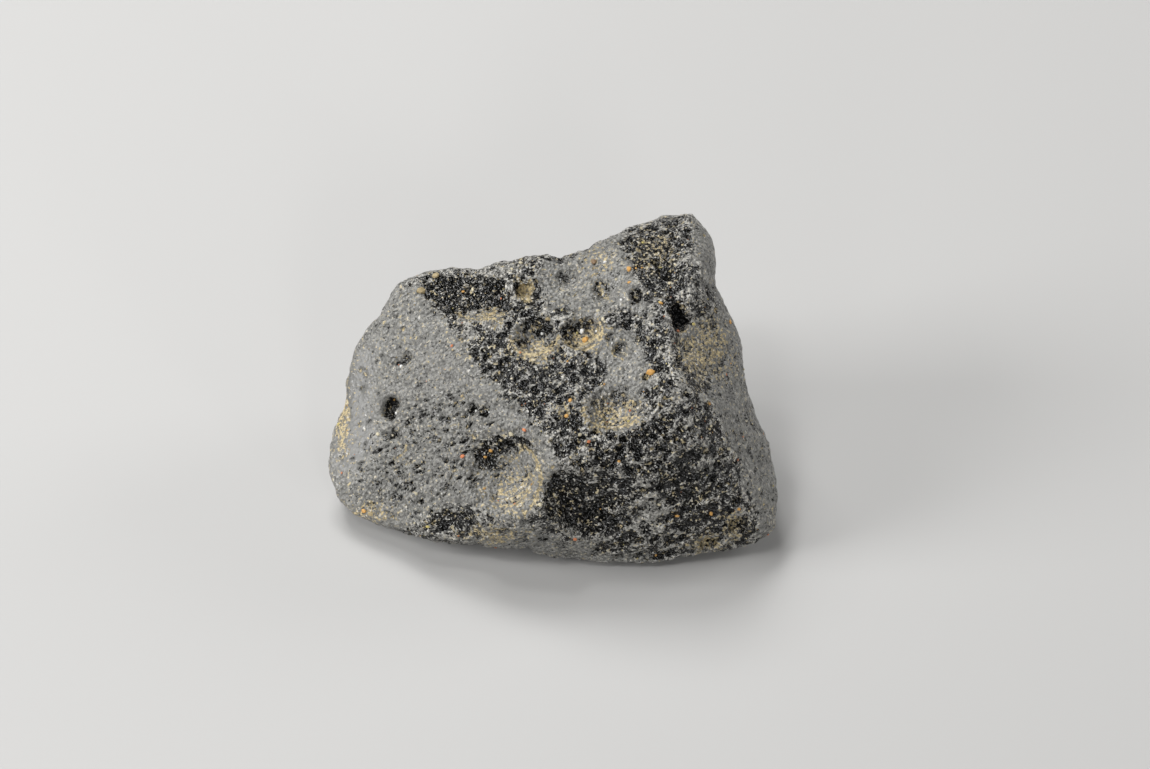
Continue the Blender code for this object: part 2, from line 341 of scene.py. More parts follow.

# %% [markdown]
# The bubble pits that can be named
# Gas bubbles opened at the skin while the glass was soft and left round pits. The ones
# that give this stone its face are placed one by one. Each line holds the pixel of its
# middle, half its width and height in mm, its turn, its depth, how far it leans to one end,
# the height of its rim, and its polish: how glossy its floor is and how much painted shade
# its wall gets. A few have a depth below zero: they are small domes on the floor of a pit,
# where a bubble under the glass swelled it.

# %% Press the named pits
NAMED_PITS = [
    # x, y, wide, high, turn, deep, lean, lip, polish: glossy floor and painted shade on the wall
    (524, 290, 1.00, 0.95, 0, 0.40, 0.0, 0.05, 0.0),
    (568, 279, 1.30, 1.20, 0, 0.25, 0.0, 0.07, 0.3),
    (565, 278, 0.45, 0.45, 0, 0.18, 0.0, 0.06, 0.3),
    (602, 292, 0.9, 1.5, 15, 0.45, 0.5, 0.04, 0.8),
    (618, 282, 1.8, 1.9, 0, 0.20, 0.0, 0.07, 0.4),
    (636, 297, 0.7, 1.0, 10, 0.40, 0.3, 0.06, 0.8),
    (534, 339, 2.35, 1.85, 0, 0.22, 0.0, 0.18, 0.15),
    (540, 333, 0.95, 0.95, 0, 0.14, 0.0, 0.12, 0.3),
    (540, 333, 0.42, 0.42, 0, 0.20, 0.0, 0.07, 1.0),
    (541, 332, 0.40, 0.40, 0, -0.22, 0.0, 0.0, 1.0),
    (554, 345, 0.50, 0.50, 0, 0.18, 0.0, 0.08, 0.8),
    (580, 334, 2.0, 1.75, 15, 0.30, 0.2, 0.18, 0.25),
    (582, 330, 0.50, 0.50, 0, -0.26, 0.0, 0.0, 1.0),
    (594, 326, 1.0, 1.4, -30, 0.15, 0.0, 0.07, 0.3),
    (614, 409, 2.7, 2.1, 0, 0.10, 0.0, 0.05, 0.0),
    (611, 338, 0.65, 0.6, 0, 0.30, 0.0, 0.09, 1.0),
    (622, 351, 0.95, 0.85, 0, 0.30, 0.0, 0.09, 0.9),
    (633, 326, 1.3, 0.8, -20, 0.25, 0.0, 0.06, 0.3),
    (678, 320, 0.8, 1.5, 10, 0.6, 0.0, 0.0, 0.2),
    (686, 343, 1.0, 1.6, 25, 0.4, 0.0, 0.0, 0.0),
    (657, 263, 0.8, 0.7, 0, 0.4, 0.0, 0.04, 0.5),
    (667, 276, 1.2, 0.8, -40, 0.4, 0.0, 0.04, 0.8),
    (393, 409, 1.0, 1.35, -10, 0.85, 0.0, 0.04, 1.0),
    (397, 411, 0.40, 0.40, 0, -0.25, 0.0, 0.0, 1.0),
    (407, 359, 0.9, 0.55, 35, 0.35, 0.0, 0.03, 0.7),
    (401, 364, 0.6, 0.4, 20, 0.25, 0.0, 0.03, 0.9),
    (401, 365, 0.30, 0.30, 0, -0.18, 0.0, 0.0, 1.0),
    (392, 435, 1.2, 0.5, 0, 0.30, 0.0, 0.03, 0.4),
    (473, 412, 0.55, 0.55, 0, 0.30, 0.0, 0.04, 0.7),
    (485, 413, 0.60, 0.60, 0, 0.35, 0.0, 0.04, 0.8),
    (448, 421, 0.45, 0.50, 0, 0.25, 0.0, 0.03, 0.5),
    (462, 466, 0.35, 0.35, 0, 0.20, 0.0, 0.03, 0.5),
    (510, 450, 1.3, 1.1, -20, 0.25, 0.0, 0.10, 0.5),
    (513, 475, 3.1, 3.9, -15, 0.10, 0.0, 0.16, 0.0),
    (512, 483, 2.3, 2.9, -15, 0.08, 0.0, 0.10, 0.0),
    (543, 540, 0.7, 0.6, 0, 0.45, 0.0, 0.03, 0.3),
    (735, 525, 0.8, 0.9, 0, 0.7, 0.0, 0.03, 0.0),
    (708, 543, 1.0, 0.8, 0, 0.6, 0.0, 0.03, 0.0),
    (640, 541, 0.8, 0.6, 0, 0.25, 0.0, 0.05, 0.7),
    (644, 393, 0.70, 0.70, 0, 0.22, 0.0, 0.10, 0.8),
    (621, 448, 0.7, 0.5, 20, 0.20, 0.0, 0.06, 0.7),
    (612, 437, 0.8, 0.5, -30, 0.20, 0.0, 0.06, 0.7),
    (505, 362, 0.8, 0.7, 0, 0.20, 0.0, 0.06, 0.5),
    (523, 385, 0.8, 0.6, 30, 0.20, 0.0, 0.06, 0.5),
    (421, 291, 0.55, 0.50, 0, 0.12, 0.0, 0.08, 0.0),
]
placed = 0
for x, y, wide, high, turn, deep, lean, lip, polish_and_shade in NAMED_PITS:
    found = under_pixel(x, y)
    if found:
        press_bowl(*found, wide, high, turn, deep, lean, lip, polish_and_shade=polish_and_shade)
        placed += 1
print(placed, "of", len(NAMED_PITS), "named pits pressed")

# %% [markdown]
# Where the skin is grey and where it is black
# The real stone isn't one even black. Its left face, a dish at the top, the right edge and
# the bottom lip look like grey slate under the lamps. That grey is painted into the colour:
# partly a frosted film, and partly painted sheen, the reflection of the lamps in those
# faces. Some places, such as the hollow, the lower right and the top of the bowl, are painted
# darker than bare glass, as painted shade. Lit places, such as the floor of the bowl and the
# ledge under the trough, are painted lighter. The rest is bare, grainy glass. The film could
# be a noise pattern alone, but then it would ignore the ridges that it stops at. Here each
# area is an outline of a few points, drawn on the side that the camera sees, with how grey
# it is painted, and a noise pattern takes over on the sides that the camera doesn't see.

# %% Draw the frosted areas, with painted sheen and shade
BARE = 0.12
AREAS = {
    # name: how frosted, from 0 to 1, and the outline in pixels of the picture; the high levels
    # are also painted sheen, and the lowest ones painted shade
    "left face": (0.90, [(407, 278), (425, 300), (440, 320), (467, 334), (469, 356), (483, 373),
                         (500, 397), (523, 413), (540, 433), (560, 457), (565, 472), (543, 485),
                         (533, 512), (510, 520), (483, 513), (457, 503), (440, 508), (420, 520),
                         (407, 532), (350, 530), (315, 470), (325, 400), (345, 340), (385, 285)]),
    "foot of the left face": (0.66, [(372, 436), (400, 404), (440, 388), (480, 402), (500, 420),
                                     (480, 440), (472, 470), (480, 500), (440, 510), (400, 520),
                                     (360, 505), (350, 470)]),
    "lower right": (0.03, [(600, 440), (650, 420), (700, 400), (740, 480), (750, 530), (700, 545),
                           (640, 535), (640, 500), (600, 470)]),
    "top dish": (0.86, [(538, 268), (552, 262), (575, 255), (600, 240), (618, 225), (622, 250),
                        (634, 270), (634, 296), (650, 305), (640, 318), (615, 310), (597, 320),
                        (570, 312), (545, 305)]),
    "below the lower pit": (0.05, [(548, 440), (592, 434), (640, 442), (640, 470), (600, 476),
                                   (562, 474)]),
    "band below the dish": (0.95, [(590, 345), (603, 322), (632, 334), (648, 362), (646, 388),
                                   (640, 410), (622, 400), (604, 388)]),
    "dish of the lower pit": (0.72, [(580, 395), (605, 385), (640, 395), (645, 420), (620, 432),
                                     (588, 428)]),
    "ledge under the trough": (0.60, [(455, 312), (478, 305), (500, 312), (502, 321), (470, 323)]),
    "trough": (0.12, [(425, 275), (480, 268), (512, 275), (520, 300), (500, 308), (455, 306),
                      (436, 300)]),
    "lobe": (0.04, [(622, 222), (690, 213), (694, 250), (690, 300), (676, 330), (650, 300),
                    (632, 262)]),
    "right edge": (0.66, [(690, 205), (740, 220), (740, 320), (765, 380), (785, 440), (800, 530),
                          (800, 620), (770, 620), (757, 505), (740, 468), (723, 433), (710, 405),
                          (700, 372), (722, 340), (712, 300), (694, 262)]),
    "right scoop": (0.55, [(676, 322), (700, 318), (724, 345), (728, 378), (700, 376), (684, 350)]),
    "left ringed pit": (0.80, [(516, 336), (526, 328), (544, 324), (556, 332), (558, 346), (548, 356),
                               (534, 359), (518, 353)]),
    "bright pit": (0.80, [(570, 328), (582, 318), (594, 313), (602, 322), (600, 338), (590, 351),
                          (572, 351), (566, 340)]),
    "bottom lip": (0.66, [(470, 542), (497, 534), (530, 521), (542, 534), (578, 538), (600, 550),
                          (660, 556), (700, 552), (660, 575), (560, 575), (470, 556)]),
    "light patch": (0.40, [(618, 505), (645, 492), (668, 500), (664, 522), (640, 532), (620, 524)]),
    "hollow": (0.04, [(537, 517), (541, 500), (557, 484), (583, 474), (610, 477), (637, 488),
                      (636, 505), (600, 530), (560, 535), (543, 527)]),
    "arch": (0.14, [(433, 520), (443, 508), (463, 504), (483, 511), (510, 523), (523, 533), (497, 537),
                    (467, 541), (440, 535)]),
    "top of the bowl": (0.06, [(474, 456), (480, 444), (494, 434), (522, 433), (532, 444), (512, 449),
                               (502, 456), (498, 468), (484, 469)]),
    "floor of the bowl": (0.96, [(486, 478), (510, 470), (538, 470), (540, 495), (522, 514),
                                 (494, 510)]),
}
print(len(AREAS), "areas drawn")

# %% [markdown]
# Where the clay lies
# Clay was washed into the pits and dried there. It lies in two ways: as soft patches on the
# floors, and as thin pale lines along the rims, where the water stood last. Both are drawn
# on the camera's side, as ovals and as arcs of ovals. The far left end is the smoothest
# part of the skin, so its outline is drawn here too.

# %% Draw the clay
CLAY = [
    # x, y, half width and half height in pixels, how much
    (524, 291, 9, 9, 1.6),
    (512, 491, 27, 24, 0.50),
    (612, 414, 28, 16, 0.60),
    (535, 348, 24, 12, 0.65),
    (588, 338, 18, 16, 0.65),
    (528, 340, 10, 8, 0.4),
    (706, 352, 26, 30, 0.60),
    (343, 420, 8, 30, 0.75),
    (485, 316, 20, 8, 0.6),
    (490, 534, 26, 9, 0.6),
    (565, 408, 12, 8, 0.5),
    (600, 262, 18, 12, 0.35),
    (655, 250, 22, 22, 0.4),
    (735, 524, 12, 14, 0.6),
    (708, 543, 14, 10, 0.7),
    (372, 512, 26, 12, 0.5),
]
CLAY_RIMS = [
    # x, y, half width and half height in pixels, first and last angle (0 right, 90 down), how much
    (534, 337, 24, 18, -10, 190, 1.2),
    (540, 333, 9, 9, 30, 300, 0.7),
    (581, 331, 21, 19, -50, 160, 1.2),
    (583, 332, 13, 12, -30, 120, 0.8),
    (509, 480, 32, 38, -75, 75, 1.2),
    (509, 483, 23, 28, -60, 40, 0.6),
    (509, 449, 12, 10, -40, 130, 0.8),
    (612, 408, 29, 20, 20, 195, 1.1),
    (390, 440, 17, 20, 0, 85, 0.7),
    (480, 309, 24, 11, 5, 175, 1.0),
    (617, 282, 18, 19, 100, 200, 0.8),
    (622, 351, 9, 8, 60, 260, 0.7),
]
RIM_WIDTH = 1.6
SMOOTHEST = [(330, 470), (335, 400), (352, 352), (378, 345), (372, 400), (378, 440), (360, 475)]
print(len(CLAY), "patches and", len(CLAY_RIMS), "rim lines of clay drawn")

# %% [markdown]
# From drawings to masks
# A drawing becomes a mask in one step for each point of the skin: where does the point
# appear in the picture, and is that inside the outline? The border fades over a few pixels,
# and noise sways it, because no border on a stone is a ruled line. On the sides that the
# camera doesn't see, large patches of noise decide.

# %% Turn the drawings into masks
FADE = 10
LONG_SWAY = 9
SHORT_SWAY = 7
FROSTED_BACK = 0.8


def inside(outline, x, y, soft):
    """1 inside an outline in the picture, 0 outside it, fading over soft pixels."""
    count = np.zeros(len(x), dtype=int)
    nearest = np.full(len(x), 1e9)
    for (x0, y0), (x1, y1) in zip(outline, outline[1:] + outline[:1]):
        crosses = (y0 > y) != (y1 > y)
        meets = x0 + (y - y0) * (x1 - x0) / ((y1 - y0) or 1e-9)
        count += crosses & (x < meets)
        length = (x1 - x0) ** 2 + (y1 - y0) ** 2
        share = np.clip(((x - x0) * (x1 - x0) + (y - y0) * (y1 - y0)) / length, 0, 1)
        nearest = np.minimum(nearest, np.hypot(x - x0 - share * (x1 - x0), y - y0 - share * (y1 - y0)))
    return np.clip(0.5 + np.where(count % 2 == 1, nearest, -nearest) / soft, 0, 1)


def noise_at(points, size):
    """Smooth noise from -1 to 1, with waves of a size in mm."""
    return np.array([noise.noise(Vector(p) / size) for p in points])


across, down = in_picture(start * MM, eye)
seen = np.clip(outward @ np.array(toward_camera) * 4, 0, 1)
sway_across = across + noise_at(start, 2.0) * LONG_SWAY + noise_at(start, 0.7) * SHORT_SWAY
sway_down = down + noise_at(start + 20, 2.0) * LONG_SWAY + noise_at(start + 20, 0.7) * SHORT_SWAY
drawn = np.full(len(start), BARE)
for how_frosted, outline in AREAS.values():
    share = inside(outline, sway_across, sway_down, FADE)
    drawn += (how_frosted - drawn) * share
patches = np.clip(0.38 + 2.6 * (noise_at(start + 40, 9.0) + 0.35 * noise_at(start + 80, 2.4)), 0, 1)
# On the camera's side the drawn levels paint the lamps' sheen grey and the shaded places dark.
frost_and_sheen = drawn * seen + (BARE + patches * (FROSTED_BACK - BARE)) * (1 - seen)
for x, y, wide, high, amount in CLAY:
    far = np.hypot((sway_across - x) / wide, (sway_down - y) / high)
    clay = np.maximum(clay, amount * np.clip(1.5 - far, 0, 1) * seen)
for x, y, wide, high, first, last, amount in CLAY_RIMS:
    far = np.hypot((across - x) / wide, (down - y) / high)
    angle = np.degrees(np.arctan2((down - y) / high, (across - x) / wide))
    from_middle = (angle - (first + last) / 2 + 180) % 360 - 180
    in_arc = np.clip(((last - first) / 2 - np.abs(from_middle)) / 15, 0, 1)
    line = np.exp(-(((far - 1) * math.sqrt(wide * high) / RIM_WIDTH) ** 2))
    clay = np.maximum(clay, amount * line * in_arc * seen)
smooth_zone = inside(SMOOTHEST, across, down, 24) * seen
print("frosted share of the skin:", round(float(frost_and_sheen.mean()), 2), "and clay on",
      round(float((clay > 0.3).mean()), 3), "of it")

# %% [markdown]
# Small pits and flow dashes
# Between the named pits the skin is full of smaller ones, too many to name. On the left
# face they are short dashes in rows, where the glass flowed, and on bare glass they are
# round. Their walls get painted shade, which makes the dashes on the left face dark. A
# seeded random choice places them, so that they lie the same way in every run.

# %% Press the flow dashes
chance = np.random.default_rng(7)


def spots_inside(outline, how_many):
    """Random places on the skin that appear inside an outline drawn in the picture."""
    corners = np.array(outline, dtype=float)
    made = 0
    while made < how_many:
        x, y = corners.min(axis=0) + chance.random(2) * np.ptp(corners, axis=0)
        if inside(outline, np.array([x]), np.array([y]), 1.0)[0] < 0.5:
            continue
        made += 1
        found = under_pixel(x, y)
        if found:
            yield found


def press_dashes(area, how_many, slope, wide, high, deep, dark=0.0):
    """Press short dashes at random places in a frosted area; dark gives their walls painted shade and their
    middle gloss.
    """
    for found in spots_inside(AREAS[area][1], how_many):
        size = chance.uniform(0.6, 1.5)
        press_bowl(*found, wide * size, high * size, slope + chance.normal(0, 14), deep * size,
                   polish_and_shade=dark)


press_dashes("left face", 80, 28, 0.28, 0.12, 0.12, dark=0.8)
press_dashes("foot of the left face", 90, 28, 0.36, 0.13, 0.14, dark=0.8)
press_dashes("top dish", 25, 0, 0.25, 0.2, 0.1)
press_dashes("right edge", 40, -60, 0.3, 0.18, 0.1)
print("flow dashes pressed")

# %% Press the small round pits


def press_rounds(outline, how_many, least, most):
    """Press small round pits with a raised rim at random places inside an outline, with random gloss and
    painted shade.
    """
    for found in spots_inside(outline, how_many):
        radius = least * (most / least) ** chance.random()
        press_bowl(*found, radius, radius * chance.uniform(0.75, 1.0), chance.uniform(0, 180),
                   radius * chance.uniform(0.3, 0.5), lip=0.04, polish_and_shade=chance.uniform(0, 0.8))


PITTED = [
    # outline in pixels of the picture, how many, smallest and largest radius in mm
    ([(425, 275), (540, 265), (560, 330), (500, 330), (450, 318)], 34, 0.22, 0.6),
    ([(470, 335), (600, 350), (590, 400), (640, 440), (560, 455), (500, 395)], 60, 0.22, 0.6),
    ([(620, 230), (695, 220), (690, 310), (660, 330), (625, 300)], 40, 0.22, 0.6),
    ([(640, 350), (700, 400), (750, 500), (740, 540), (600, 545), (560, 500), (600, 440)], 90, 0.2, 0.5),
]
for outline, how_many, least, most in PITTED:
    press_rounds(outline, how_many, least, most)
print("small round pits pressed on the camera's side")

# %% [markdown]
# Pits on every side
# The same kinds of pit lie on the sides that the camera doesn't see. There the places are
# picked among all points of the skin, a few large pits first and the smallest last. The
# larger ones are left out on the camera's side, where the real ones are already placed.

# %% Press pits on every side
SMALL_PITS = [
    # how many, smallest and largest radius in mm
    (26, 0.9, 1.9),
    (150, 0.4, 0.9),
    (900, 0.2, 0.42),
]
pressed = 0
for how_many, least, most in SMALL_PITS:
    for number in chance.choice(len(start), how_many, replace=False):
        if least > 0.3 and seen[number] > 0.2:
            continue
        if frost_and_sheen[number] > 0.5 and seen[number] > 0.5 and chance.random() < 0.6:
            continue
        place = Vector(start[number])
        radius = least * (most / least) ** chance.random()
        away = facing(place, max(0.5, radius))
        press_bowl(place, away, radius, radius * chance.uniform(0.7, 1.0), chance.uniform(0, 180),
                   radius * chance.uniform(0.3, 0.6), clayey=chance.choice([0.0, 0.3, 0.8]))
        pressed += 1
print(pressed, "more pits pressed")

# %% [markdown]
# The grain of the skin
# Acid soil water etched the bare glass into tiny dimples that touch one another, like the
# skin of an orange. A pattern of random cells gives such dimples: near the middle of each
# cell the skin goes in. Two sizes are laid over each other, noise adds unevenness and long
# waves along the flow, and the frosted parts get less of it all. The finest grain is left
# to the material.

# %% Etch the grain into the skin
FLOW_SLOPE = math.radians(32)


def dimples(points, spacing, share):
    """Round hollows, 1 in the middle and 0 outside, one to each cell of a random pattern."""
    nearest = np.array([noise.voronoi(Vector(p) / spacing)[0][0] for p in points])
    return np.clip(1 - (nearest / share) ** 2, 0, None)


flow = picture_right * math.cos(FLOW_SLOPE) + picture_up * math.sin(FLOW_SLOPE)
over_flow = picture_up * math.cos(FLOW_SLOPE) - picture_right * math.sin(FLOW_SLOPE)
grain = (1 - 0.6 * frost_and_sheen) * (1 - 0.75 * smooth_zone) * (1 - 0.5 * np.clip(clay, 0, 1))
grain *= (1 - 0.7 * wall_shade) * (1 - 0.9 * gloss)
relief = 0.12 * noise_at(start, 3.1) + 0.22 * noise_at(start, 1.3) + 0.16 * noise_at(start, 0.65)
relief -= 0.14 * dimples(start, 1.25, 0.5) + 0.10 * dimples(start + 30, 0.75, 0.5)
flow_axes = np.array([flow, over_flow, toward_camera])
flow_waves = np.array([3.6, 0.8, 1.2])
relief += 0.14 * noise_at(start @ flow_axes.T / flow_waves, 1.0)
carved += outward * (relief * grain)[:, None]
print("grain between", round(float(relief.min()), 2), "and", round(float(relief.max()), 2), "mm")

# %% [markdown]
# What stands out and what lies low
# The grey is painted strongest on crests and lumps, as painted highlight, and the hollows
# between them stay dark, as painted shade. So the material has to know how far each place
# stands out. A copy of the skin is relaxed: each point moves to the mean of its neighbours,
# again and again. The distance between a point and its relaxed copy is the answer. Few
# rounds find the crests of the fine grain, and many rounds find the lumps. A renderer can
# measure pointiness too, but only at one size.

# %% Measure what stands out
CREST_ROUNDS = 30
LUMP_ROUNDS = 250


def stands_out(points, rounds):
    """How far each point stands out of its smoothed surroundings, in mm."""
    ends = np.empty(len(skin.edges) * 2, dtype=int)
    skin.edges.foreach_get("vertices", ends)
    one, other = ends.reshape(-1, 2).T
    how_many = np.bincount(one, minlength=len(points)) + np.bincount(other, minlength=len(points))
    soft = points.copy()
    for _ in range(rounds):
        for axis in range(3):
            total = np.bincount(one, weights=soft[other, axis], minlength=len(points))
            total += np.bincount(other, weights=soft[one, axis], minlength=len(points))
            soft[:, axis] = total / how_many
    return ((points - soft) * outward).sum(axis=1)


crest = stands_out(carved, CREST_ROUNDS)
lump = stands_out(carved, LUMP_ROUNDS)
raised = np.clip(0.5 + crest / 0.24 + np.clip(lump, -0.1, 0.6) / 1.8, 0, 1)
print("crests stand out by", np.round(np.percentile(crest, [5, 50, 95]), 3), "mm and lumps by",
      np.round(np.percentile(lump, [5, 50, 95]), 3), "mm")

# %% [markdown]
# Back to a mesh of a sensible size
# The carving needed very many points, also where nothing happened. Decimate now takes
# points away where the skin is nearly flat and keeps them at the rims. Nothing may reach
# below the table, so low points are lifted to it. The six masks are carried over from the
# nearest old point, and stored on the mesh, where the material can read them: how frosted
# the skin is, with the painted sheen and shade in that mask, how clayey and how grainy it is,
# where the wall of a pit gets painted shade, where its floor is glossy, and how far the place
# stands out.

# %% Put the carving on the mesh
TRIANGLES = 192000
lowest = carved[:, 2].min()
carved[:, 2] = np.maximum(carved[:, 2], 0.0)
skin.vertices.foreach_set("co", (carved * MM).ravel())
skin.update()
skin = modified(skin, "TRIANGULATE")
skin = modified(skin, "DECIMATE", ratio=TRIANGLES / len(skin.polygons))
resting = points_of(skin)
resting[:, 2] = np.maximum(resting[:, 2], 0.0)
skin.vertices.foreach_set("co", resting.ravel())
skin.update()
skin.shade_smooth()

carved_finder = KDTree(len(carved))
for i, point in enumerate(carved):
    carved_finder.insert(point, i)
carved_finder.balance()
same = np.array([carved_finder.find(point)[1] for point in points_of(skin) / MM])
masks = {"frost_and_sheen": frost_and_sheen, "clay": clay, "grain": grain, "wall_shade": wall_shade, "gloss": gloss, "raised": raised}
for name, values in masks.items():
    layer = skin.attributes.new(name, "FLOAT", "POINT")
    layer.data.foreach_set("value", values[same].astype(np.float32))
print("the lowest point was at", round(float(lowest), 3), "mm, and is now at",
      round(float(resting[:, 2].min()), 3), "mm; the skin has", len(skin.polygons), "triangles")

# %% [markdown]
# Grains stuck in the pits
# Grains of ochre clay and pale sand are wedged in the pits and stand a little proud, so
# they are real shapes and not paint. The ones that catch the eye are placed by their pixel.
# The white ones among them are painted highlights, set where the pits show a glint of the
# lamps.
# Many finer ones are scattered by chance, most of them where the skin goes in. Each is a
# ball of twenty faces, knocked out of round, which is enough for a grain of sand. Its colour
# is stored on its points, so that one material can serve all the grains.

# %% List the grains that catch the eye
OCHRE = (0.50, 0.27, 0.07)
RUST = (0.50, 0.17, 0.07)
TAN = (0.34, 0.27, 0.15)
CREAM = (0.50, 0.45, 0.32)
BROWN = (0.16, 0.10, 0.05)
YELLOW = (0.48, 0.40, 0.13)
# Painted highlights: white grains where the pits show a glint of the lamps.
HIGHLIGHT_WHITE = (0.62, 0.62, 0.60)
NAMED_GRAINS = [
    # x, y and radius in pixels of the picture, colour
    (651, 372, 4.2, OCHRE), (629, 269, 2.6, OCHRE), (636, 268, 1.6, OCHRE), (629, 282, 2.0, OCHRE),
    (585, 339, 3.2, OCHRE), (462, 456, 2.6, RUST), (485, 457, 1.8, OCHRE), (364, 511, 2.8, OCHRE),
    (711, 514, 2.2, OCHRE), (677, 516, 2.2, OCHRE), (739, 509, 2.2, OCHRE), (524, 430, 2.2, RUST),
    (575, 539, 2.2, RUST), (548, 319, 2.5, TAN), (570, 400, 2.6, OCHRE), (566, 415, 2.6, OCHRE),
    (371, 514, 3.0, TAN), (491, 450, 2.2, OCHRE), (462, 396, 2.0, TAN), (589, 442, 1.8, RUST),
    (619, 461, 2.0, OCHRE), (452, 346, 2.0, RUST), (511, 434, 3.6, CREAM), (378, 434, 2.2, CREAM),
    (436, 276, 4.0, TAN), (421, 291, 4.6, TAN), (473, 290, 2.6, CREAM), (512, 270, 2.0, CREAM),
    (521, 262, 2.5, CREAM), (580, 436, 2.0, CREAM), (594, 262, 3.0, BROWN), (660, 302, 1.8, YELLOW),
    (428, 526, 2.0, YELLOW), (453, 350, 1.6, TAN), (661, 303, 2.0, OCHRE), (598, 311, 2.4, CREAM),
    (603, 319, 2.2, CREAM), (730, 322, 2.4, OCHRE), (540, 505, 2.2, CREAM), (492, 314, 4.0, TAN),
    (582, 331, 2.6, HIGHLIGHT_WHITE), (594, 331, 1.6, HIGHLIGHT_WHITE), (541, 334, 1.8, HIGHLIGHT_WHITE), (397, 413, 2.0, HIGHLIGHT_WHITE),
    (401, 366, 1.8, HIGHLIGHT_WHITE), (605, 262, 1.8, HIGHLIGHT_WHITE), (612, 343, 1.6, HIGHLIGHT_WHITE), (474, 411, 1.6, HIGHLIGHT_WHITE),
    (487, 412, 1.4, HIGHLIGHT_WHITE), (539, 470, 2.0, CREAM), (520, 445, 1.6, CREAM), (621, 300, 1.4, HIGHLIGHT_WHITE),
]
print(len(NAMED_GRAINS), "grains listed")

# %% Place the grains
SCATTERED = 420
MM_PER_PIXEL = 0.1
SUNK = 0.35


def add_grain(bm, middle, away, radius, colour):
    """Set one knocked-about ball into the skin. Sizes are in mm."""
    made = bmesh.ops.create_icosphere(bm, subdivisions=1, radius=1.0)["verts"]
    shape = Vector(chance.uniform(0.75, 1.25, 3))
    for v in made:
        push = Vector(v.co * shape) * radius * chance.uniform(0.85, 1.1)
        push -= away * push.dot(away) * SUNK
        v.co = (middle + away * radius * 0.1 + push) * MM
        v[tint] = (*colour, 1.0)


clay_bm = bmesh.new()
tint = clay_bm.verts.layers.float_color.new("tint")
finished = BVHTree.FromPolygons((points_of(skin) / MM).tolist(), [tuple(p.vertices) for p in skin.polygons])
for x, y, radius, colour in NAMED_GRAINS:
    found = under_pixel(x, y)
    if found:
        spot, away = finished.find_nearest(found[0])[:2]
        add_grain(clay_bm, spot, away, radius * MM_PER_PIXEL, colour)
weights = (0.15 + np.clip(-crest / 0.1, 0, 1) + np.clip(clay, 0, 1)) * (carved[:, 2] > 0.8)
picks = chance.choice(len(carved), SCATTERED, replace=False, p=weights / weights.sum())
palette = [CREAM, CREAM, TAN, TAN, TAN, YELLOW, OCHRE, RUST]
for number in picks:
    spot, away = finished.find_nearest(Vector(carved[number]))[:2]
    fade = chance.uniform(0.6, 1.0)
    colour = tuple(c * fade for c in palette[chance.integers(len(palette))])
    add_grain(clay_bm, spot, away, 0.06 + 0.13 * chance.random() ** 3, colour)
clay_mesh = bpy.data.meshes.new("clay_grains")
clay_bm.to_mesh(clay_mesh)
clay_bm.free()
print(len(NAMED_GRAINS) + SCATTERED, "grains of", len(clay_mesh.polygons), "faces in all")

# %% [markdown]
# The material of the skin
# The glass is nearly black, and shines a little through a fine matt grain. The frosted
# film is a thin grey layer over it, and the same grey also paints the sheen of the lamps on
# the broad faces, with painted shade in the hollows. Clay is a dull tan crust. Each could
# be a material of its own, but they mingle grain by grain, so one shader does all three:
# the masks on the mesh, broken up by noise, choose its colour and its roughness. The
# material is a graph of small nodes. A few helpers add them, so that the steps below read
# like sums.

# %% Start the material
glass = bpy.data.materials.new("tektite_glass")
glass.use_nodes = True
nodes = glass.node_tree.nodes
links = glass.node_tree.links
shader = nodes["Principled BSDF"]


def node(kind, **settings):
    """A new node with its settings made."""
    made = nodes.new(kind)
    for name, value in settings.items():
        setattr(made, name, value)
    return made


def feed(target, value):
    """Give an input either a fixed value or a link."""
    if isinstance(value, bpy.types.NodeSocket):
        links.new(value, target)
    else:
        target.default_value = value


def sum_up(kind, a, b, c=None, clamp=False):
    """One Math node."""
    made = node("ShaderNodeMath", operation=kind, use_clamp=clamp)
    feed(made.inputs[0], a)
    feed(made.inputs[1], b)
    if c is not None:
        feed(made.inputs[2], c)
    return made.outputs[0]


def from_to(value, low, high, to_low=0.0, to_high=1.0):
    """A value's range laid onto another one, with soft ends."""
    made = node("ShaderNodeMapRange", interpolation_type="SMOOTHSTEP")
    feed(made.inputs["Value"], value)
    made.inputs["From Min"].default_value = low
    made.inputs["From Max"].default_value = high
    made.inputs["To Min"].default_value = to_low
    made.inputs["To Max"].default_value = to_high
    return made.outputs["Result"]


def blend(share, a, b):
    """A mix of two colours."""
    made = node("ShaderNodeMix", data_type="RGBA")
    feed(made.inputs[0], share)
    feed(made.inputs[6], a)
    feed(made.inputs[7], b)
    return made.outputs[2]


def painted(name):
    """A mask that was stored on the mesh."""
    return node("ShaderNodeAttribute", attribute_name=name).outputs["Fac"]


print("material started with", len(nodes), "nodes")

# %% [markdown]
# Patterns in real sizes
# All patterns sit in the stone's own space, so they stay on it when it is moved. Their
# scale is the reverse of a size, which is hard to picture, so each helper takes a size in
# mm. One pattern is stretched along the flow of the glass: a Mapping node turns the space
# until its X axis runs along the flow, and squeezes it there.

# %% Make the helpers for patterns
STRETCH = 4.5
object_place = node("ShaderNodeTexCoord").outputs["Object"]


def grainy(size, detail=3.0, unevenness=0.55):
    """Noise with grains of a size in mm."""
    made = node("ShaderNodeTexNoise")
    links.new(object_place, made.inputs["Vector"])
    made.inputs["Scale"].default_value = 1 / (size * MM)
    made.inputs["Detail"].default_value = detail
    made.inputs["Roughness"].default_value = unevenness
    return made.outputs["Fac"]


